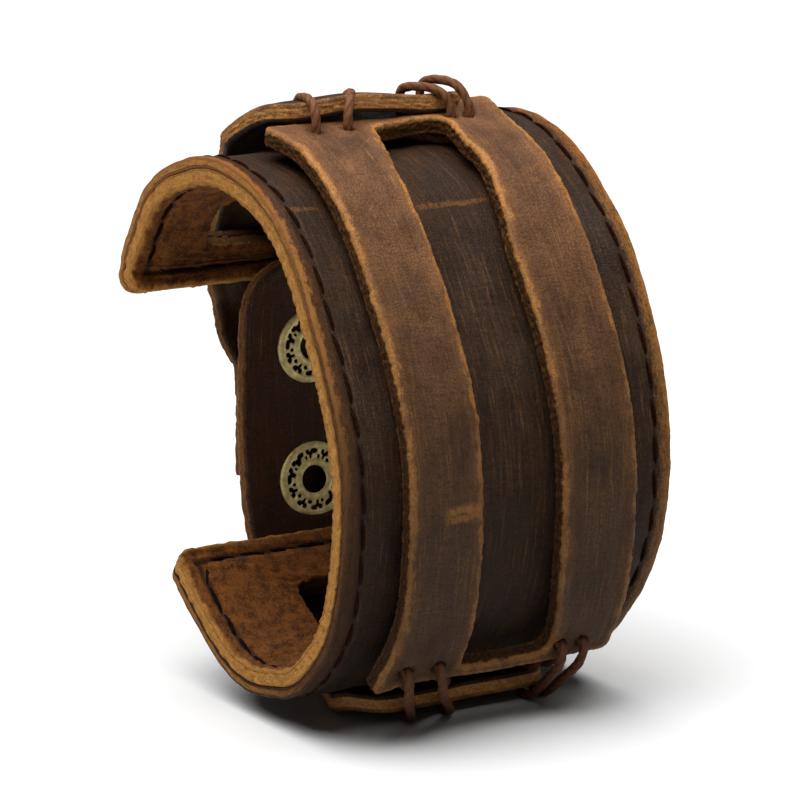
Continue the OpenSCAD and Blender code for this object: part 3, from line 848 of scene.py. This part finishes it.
def makePanel():
    total, upper = panelPath["length"], slice(-120, None)
    topHole = np.interp(-(panel["topHoleX"] + middleX), -panelPath["p"][upper, 0], panelPath["s"][upper])
    holes = [(topHole + shift, y) for y, shift in panel["topHoles"]]
    holes += [(panel["lowHoleInset"], y) for y in panel["lowHoles"]]

    def lifts(s, y, edge):
        curl = 1.6 * ramp(y, 10, 14.5) * (1 - ramp(total - s, 0, 9))
        bend = curl + 0.08 * ripple(flat(s, y), 18, 41) - 0.12
        crease = -0.12 * bump(edge, 1.9, 0.35) + 0.08 * bump(edge, 1.1, 0.6)
        funnels = holeDimples(s, y, holes, panel)
        return bend + crease + 0.04 * ripple(flat(s, y), 5, 43) - funnels, bend + funnels

    shape = {"depth": 0, "thick": panel["thick"], "topRound": 0.4, "lowRound": 0.3, "wallRows": 9,
             "sides": (1, -1), "fibres": (1.1, 0.09, 51), "fray": 0.05}
    makeLeather("strapPanel", (strapLeather, "strap_leather", "strap_panel"), panelPath,
                *panelSheets(panelPath), shape, lifts)


makePanel()


# The closing tabs: a broad laced end and a tongue with a round tip
tabs = {
    "thick": 2.5, "endWidth": 30, "endRadius": 5, "holeRadius": 0.95, "holeDeep": 1.2,
    "edgeCurl": [(20, -1), (36, -1.4), (41, -0.9), (45, 0.8), (50, 2.4), (54, 1.8), (60, 0)],
    "upper": {"tongue": 19, "tipZ": 15.5, "plan": (-42.5, -54), "holeX": -29.9,
              "holes": (-10.2, -2.6, 6, 9.2), "square": 2},
    "lower": {"tongue": 21.5, "tipZ": 56.6, "plan": (-14, -25), "holeX": -7.3,
              "holes": (-8.2, -2, 10.8, 13), "square": 2.8}}
snaps = {
    "heights": (23.9, 43.7), "turns": (0.25, 0.9), "tabSpace": 1.6, "holeRadius": 1.95, "capRadius": 5.25,
    "leaves": 10, "band": (2.95, 4.36), "bandMiddle": 3.65, "relief": 0.3, "ringColumns": 288,
    "capColumns": 96}


def tabSheets(path, tab, endAtStart):
    # distance e runs from the broad end to the tip, a round that may be squarer than a half circle
    wide, narrow, r, square = tabs["endWidth"] / 2, tab["tongue"] / 2, tabs["endRadius"], tab["square"]
    tip = reachHeight(path, tab["tipZ"])
    length = tip if endAtStart else path["length"] - tip
    e = np.concatenate([
        r * (1 - np.cos(np.linspace(0, np.pi / 2, 14))), np.arange(r + 0.5, length - narrow, 0.5),
        length - narrow * (1 - np.cos(np.linspace(np.pi / 2, 0, 36)))])
    s = e if endAtStart else path["length"] - e
    x = np.interp(s, path["s"], path["p"][:, 0]) - middleX
    half = np.interp(x, tab["plan"][::-1], (narrow, wide)) - roundDrop(e, r)
    q = np.clip(narrow - (length - e), 0, None)
    half = np.where(q > 0, narrow * (1 - (q / narrow)**square)**(1 / square), half)
    if endAtStart:
        half = half - 1.7 * ramp(s, reachHeight(path, 45), reachHeight(path, 39))
    across = np.linspace(-(wide - r), wide - r, 42)[1:-1]
    outer = np.vstack([flat(0, across), flat(e, half), flat(e, -half)[::-1][1:]])
    spine = np.clip(outer[:, 0], wide * 0.7, length - narrow)
    sheet = ringSheet(outer, flat(spine, 0), wallPitch, [0], 22)
    if not endAtStart:
        sheet, outer = (part * [-1, 1] + [path["length"], 0] for part in (sheet, outer))
    return [(sheet, True)], [outer]


def makeTab(name, path, tab, endAtStart, seed, node):
    near = path["s"] < 20 if endAtStart else path["s"] > path["length"] - 20
    x, way = path["p"][near, 0], path["s"][near]
    order = np.argsort(x)
    holeS = np.interp(tab["holeX"] + middleX, x[order], way[order])
    holes = [(holeS, y) for y in tab["holes"]]
    seats = [reachHeight(path, z) for z in snaps["heights"]]

    def lifts(s, y, edge):
        bend = 0.06 * ripple(flat(s, y), 14, seed) - (0.15 if endAtStart else 0.2)
        if endAtStart:
            # the laced end is crowned and low at the far side; the near edge curls out, then in
            height = np.interp(s, path["s"], path["p"][:, 1])
            curl = np.interp(height, *np.array(tabs["edgeCurl"]).T) * (s > 30) * ramp(-y, 4.8, 8.3)
            bend = bend + curl + (0.8 * bump(y, -4, 7.5) - 0.35 * ramp(y, 2, 8)) * (1 - ramp(s, 4, 13))
        # a crease beside the edge, the cord's holes, and a dish under each snap on one face
        sunk = 0.12 * bump(edge, 1.7, 0.35) + holeDimples(s, y, holes, tabs)
        dish = np.zeros(np.shape(s))
        for seat in seats:
            d = np.hypot(s - seat, y)
            dish = np.maximum(dish, 0.3 * ramp(d, 5.9, 5.2) - 0.12 * bump(d, 6.2, 0.6))
        return bend - sunk - dish * endAtStart, bend + sunk + dish * (not endAtStart)

    shape = {"depth": 0, "thick": tabs["thick"], "topRound": 0.6, "lowRound": 0.5, "wallRows": 11,
             "sides": (1 if endAtStart else -1,), "fibres": (1.2, 0.08, seed + 1), "fray": 0.05}
    makeLeather(name, (tabLeather, "tab_leather", node), path, *tabSheets(path, tab, endAtStart), shape,
                lifts)


makeTab("upperTab", upperPath, tabs["upper"], True, 61, "upper_tab")
makeTab("lowerTab", lowerPath, tabs["lower"], False, 71, "lower_tab")


# Snaps: turned shapes on the lower tab's face
def makeTurned(name, at, radius, height, pressed, columns, node):
    # rows of radius and height carried round; height is measured into the bracelet
    p, heading, out = (v[0] for v in onPath(lowerPath, np.array([at])))
    angle = around(columns)
    lay = flat(radius * np.cos(angle), radius * np.sin(angle), height)
    q = p + heading * lay[..., :1] - out * lay[..., 2:]
    points = flat(q[..., 0], lay[..., 1], q[..., 1]) * mm
    part = gridPart(points, gridQuads(*lay.shape[:2]), lay, edge=pressed)
    makePiece(name, [part], brass, "snap_brass", node, weld=2e-5)


def ringProfile():
    # the post through the tab, then, above the tab's face, the rounded rim, the band and the hole
    hole = snaps["holeRadius"]
    post = [
        [0.01, -1.28], [2, -1.28], [2.4, -1.0], [2.45, -0.6], [2.45, 2.2], [2.6, 2.28], [5.3, 2.28],
        [5.45, 2.4]]
    above = [
        [5.45, 0.1], [5.4, 0.28], [5.26, 0.42], [5.0, 0.5], [4.72, 0.53], [4.5, 0.5], [4.4, 0.43],
        *([r, 0.42] for r in np.linspace(4.34, 2.98, 18)),
        [2.9, 0.46], [2.76, 0.55], [2.5, 0.6], [2.25, 0.56], [2.06, 0.45], [hole + 0.02, 0.35],
        [hole, 0.25], [hole, 0.12], [hole - 0.1, 0.07], [0.01, 0.07]]
    return np.vstack([post, np.array(above) + [0, tabs["thick"]]])


def makeRing(name, at, turn, node):
    profile = ringProfile()
    radius, height = profile[:, :1], profile[:, 1:]
    angle = around(snaps["ringColumns"])
    pitch = 2 * np.pi / snaps["leaves"]
    wave = (angle + turn + 0.05 * ripple(flat(angle), 1.1, 5)) % pitch - pitch / 2
    # a leaf of three lobes on a stalk in the middle of each pitch, and a dot between two leaves
    spots = [(-0.14, 4.05, 0.34), (0.14, 4.02, 0.33), (0.0, 3.66, 0.31), (0.02, 3.27, 0.25),
             (pitch / 2, 3.3, 0.24), (-pitch / 2, 3.3, 0.24)]
    pressed = 0
    for offset, r, size in spots:
        away = np.hypot((wave - offset) * snaps["bandMiddle"], radius - r)
        pressed = np.maximum(pressed, ramp(away, size * 1.5, size * 0.8))
    pressed = pressed * ((radius > snaps["band"][0]) & (radius < snaps["band"][1])) * (height > 2)
    height = height - snaps["relief"] * pressed
    # the hole's floor is painted nearly black: painted shade
    paintedHoleShade = (np.arange(len(profile)) > len(profile) - 5)[:, None]
    makeTurned(name, at, radius, height, np.maximum(pressed, paintedHoleShade), len(angle), node)


def makeCap(name, at, node):
    # domed cap outside, with its post and socket
    dome = np.linspace(0.02, 1, 22)
    head = flat(snaps["capRadius"] * dome, 0.1 - 1.15 * np.sqrt(1 - dome**2)**0.9)
    head[:, 1] += 0.12 * bump(head[:, 0], 4.3, 0.35)
    profile = np.vstack([head, [
        [5.2, 0.2], [1.6, 0.22], [1.6, 2.0], [3.9, 2.05], [3.9, 3.6], [3.75, 3.7], [2.8, 3.7], [2.7, 3.6],
        [2.7, 2.62], [0.01, 2.6]]])
    radius, height = profile[:, :1], profile[:, 1:]
    pressed = 0.35 * bump(radius, 4.3, 0.2) * (height < 0.2)
    outside = -snaps["tabSpace"] - tabs["thick"]
    makeTurned(name, at, radius, outside + height, pressed, snaps["capColumns"], node)


for level, z, turn in zip(("lower", "upper"), snaps["heights"], snaps["turns"]):
    seat = reachHeight(lowerPath, z)
    makeRing(level + "SnapRing", seat, turn, level + "_snap_stud")
    makeCap(level + "SnapCap", seat, level + "_snap_cap")


# Lacing: twisted waxed cord in closed loops
lacing = {"radius": 0.65, "strands": 3, "twist": 0.5, "sides": 15, "perSpan": 9, "liftZ": 80}
# Middle of a loop: x, z, and how far it leans from its tab hole (0) to its panel hole (1).
topLoop = [
    [-22.2, 78.4, 1], [-22.9, 80.2, 0.85], [-24.6, 81.3, 0.6], [-27.4, 81.5, 0.15], [-29.4, 80.8, 0],
    [-29.9, 79, 0], [-29.6, 76.6, 0], [-28.4, 75, 0], [-26, 74.4, 0.4], [-23.8, 74.1, 0.9],
    [-22.4, 74.6, 1], [-22.2, 76.4, 1]]
lowLoop = [
    [6.1, 10.2, 1], [5.2, 7.9, 0.9], [2.2, 5.3, 0.65], [-1.2, 2.9, 0.3], [-4, 1.05, 0.05], [-6.5, 0.74, 0],
    [-7.3, 2.2, 0], [-7.3, 3.6, 0], [-6.3, 4.9, 0], [-3, 5.5, 0.2], [0.3, 8.2, 0.7], [1.7, 10.9, 0.95],
    [2.7, 12.1, 1], [4.6, 11.2, 1]]
# One row a loop: panel hole y, tab hole y, how steeply it stands up above liftZ, and panel hole shift in x.
topLaces = [[-11.8, -10.2, -0.35, 0], [-6.9, -2.6, -0.3, 0], [10, 6, -0.2, -1.2], [12.5, 9.2, 0.3, -0.4]]
lowLaces = [[-15.2, -8.2, 0, 0], [-10.2, -2, 0, 0], [8.8, 10.8, 0, 0], [12.2, 13, 0, 0]]


def loopLine(rows, panelY, tabY, steep, shift):
    x, z, lean = smoothCurve(rows, lacing["perSpan"], closed=True).T
    rise = steep * np.clip(z - lacing["liftZ"], 0, None)
    return flat(x + middleX + shift * lean, tabY + (panelY - tabY) * lean, z + rise)


def makeLace(name, line, material, seed, node):
    # rings round the closed line; the strands turn with the distance along it
    radius, sides, strands = lacing["radius"], lacing["sides"], lacing["strands"]
    way = lengthAlong(np.vstack([line, line[:1]]))
    turns, way = round(lacing["twist"] * way[-1]), way[:-1, None]
    ahead = unit(np.roll(line, -1, axis=0) - np.roll(line, 1, axis=0))
    a = unit(np.cross(ahead, [0, 1, 0.03]))
    b = np.cross(ahead, a)
    angle = around(sides)
    strand = np.abs(np.cos((angle - 2 * np.pi * turns / strands * (way / way[-1])) * strands / 2))
    r = radius * (1 + 0.04 * ripple(flat(way, 0), 1.5, seed)) * (0.9 + 0.1 * strand)
    ring = np.cos(angle)[:, None] * a[:, None] + np.sin(angle)[:, None] * b[:, None]
    part = gridPart((line[:, None] + r[..., None] * ring) * mm, gridQuads(len(line), sides, looped=True),
                    flat(way, radius * angle, 0), edge=strand)
    makePiece(name, [part], material, "waxed_cord", node)


for side, rows, laces in (("top", topLoop, topLaces), ("bottom", lowLoop, lowLaces)):
    for i, lace in enumerate(laces):
        makeLace(f"{side}Lace{i + 1}", loopLine(rows, *lace), cords[side], 80 + i, f"{side}_lace_{i + 1}")


# Stitching round the cuff, on both faces
stitch = {"pitch": 4.8, "corner": 1.2, "outerRadius": 0.26, "innerRadius": 0.27, "rings": 9, "sides": 7}


def stitchLine():
    # evenly spaced needle holes on a rectangle with round corners, all the way round
    low, r, quarter = cuff["stitchInset"], stitch["corner"], np.linspace(0, np.pi / 2, 6)
    high, half = cuffPath["length"] - low, cuff["width"] / 2 - low
    corners = [(low + r, -half + r, np.pi), (high - r, -half + r, 1.5 * np.pi), (high - r, half - r, 0),
               (low + r, half - r, 0.5 * np.pi)]
    line = np.vstack([flat(s + r * np.cos(start + quarter), y + r * np.sin(start + quarter))
                      for s, y, start in corners])
    line = np.vstack([line, line[:1]])
    way = lengthAlong(line)
    at = np.linspace(0, way[-1], round(way[-1] / stitch["pitch"]), endpoint=False)
    return onLine(at, way, line)


def makeStitches(name, depth, outward, radius, gaps, material, seed):
    # one short thread from each needle hole to the next, sunk at both ends and set a little aslant
    hole, draw = stitchLine(), np.random.default_rng(seed)
    reach = (np.roll(hole, -1, axis=0) - hole)[:, None]
    side = unit(flat(reach[..., 1], -reach[..., 0]))
    u = np.linspace(0, 1, stitch["rings"])[:, None]
    slant = draw.uniform(0.1, 0.26, (len(hole), 1, 1))
    gap = draw.uniform(*gaps, (len(hole), 1, 1))
    middle = hole[:, None] + reach * (gap / 2 + (1 - gap) * u) + side * slant * (2 * u - 1)
    bow = np.sin(np.pi * u)
    rise = (bow**0.6 * radius * 1.5 - radius * 0.9) * draw.uniform(0.75, 1.1, (len(hole), 1, 1))
    wide = radius * (0.35 + 0.65 * bow**0.35)
    s, y = middle[..., :1], middle[..., 1:]
    angle = around(stitch["sides"])
    deep = depth - cuffBend(s, y) - outward * rise + np.sin(angle) * wide * 0.8
    s, y = s + side[..., :1] * np.cos(angle) * wide, y + side[..., 1:] * np.cos(angle) * wide
    quads = gridQuads(stitch["rings"], stitch["sides"])
    parts = [gridPart(points, quads, lay)
             for points, lay in zip(place(cuffPath, s, y, deep), flat(s, y * 2, deep))]
    makePiece(name, parts, material, "waxed_cord", capped=True)


makeStitches("outerStitches", 0.16, 1, stitch["outerRadius"], (0.03, 0.1), outerThread, 91)
makeStitches("liningStitches", cuff["outerThick"] + cuff["liningThick"] + cuff["layerGap"] - 0.42, -1,
             stitch["innerRadius"], (0.0, 0.04), innerThread, 92)


# Studio: pale floor under a broad soft light from above
def makeFloor():
    a, grey = studio["floorSize"], studio["floor"]
    mesh = bpy.data.meshes.new("floor")
    mesh.from_pydata([(-a, -a, 0), (a, -a, 0), (a, a, 0), (-a, a, 0)], [], [(0, 1, 2, 3)])
    material, shader = plainMaterial(
        "paleFloor", Base_Color=(grey, grey, grey, 1), Roughness=0.6, Specular_IOR_Level=0.2)
    mesh.materials.append(material)
    addThing("floor", mesh)


def makeLight():
    world = bpy.data.worlds.new("studio")
    world.use_nodes = True
    sky = world.node_tree.nodes["Background"]
    sky.inputs[0].default_value = (1, 1, 1, 1)
    sky.inputs[1].default_value = studio["world"]
    scene.world = world
    sun = bpy.data.lights.new("softSky", "SUN")
    sun.energy, sun.angle = studio["sun"], np.radians(studio["sunWidth"])
    addThing("softSky", sun, studio["sunWay"])
    box = bpy.data.lights.new("topSoftbox", "AREA")
    box.shape, box.size, box.energy = "DISK", studio["boxSize"], studio["box"]
    aim = Vector(studio["boxAim"]) - Vector(studio["boxPlace"])
    addThing("topSoftbox", box, aim, studio["boxPlace"])
    scene.view_settings.view_transform = "Standard"


makeFloor()
makeLight()
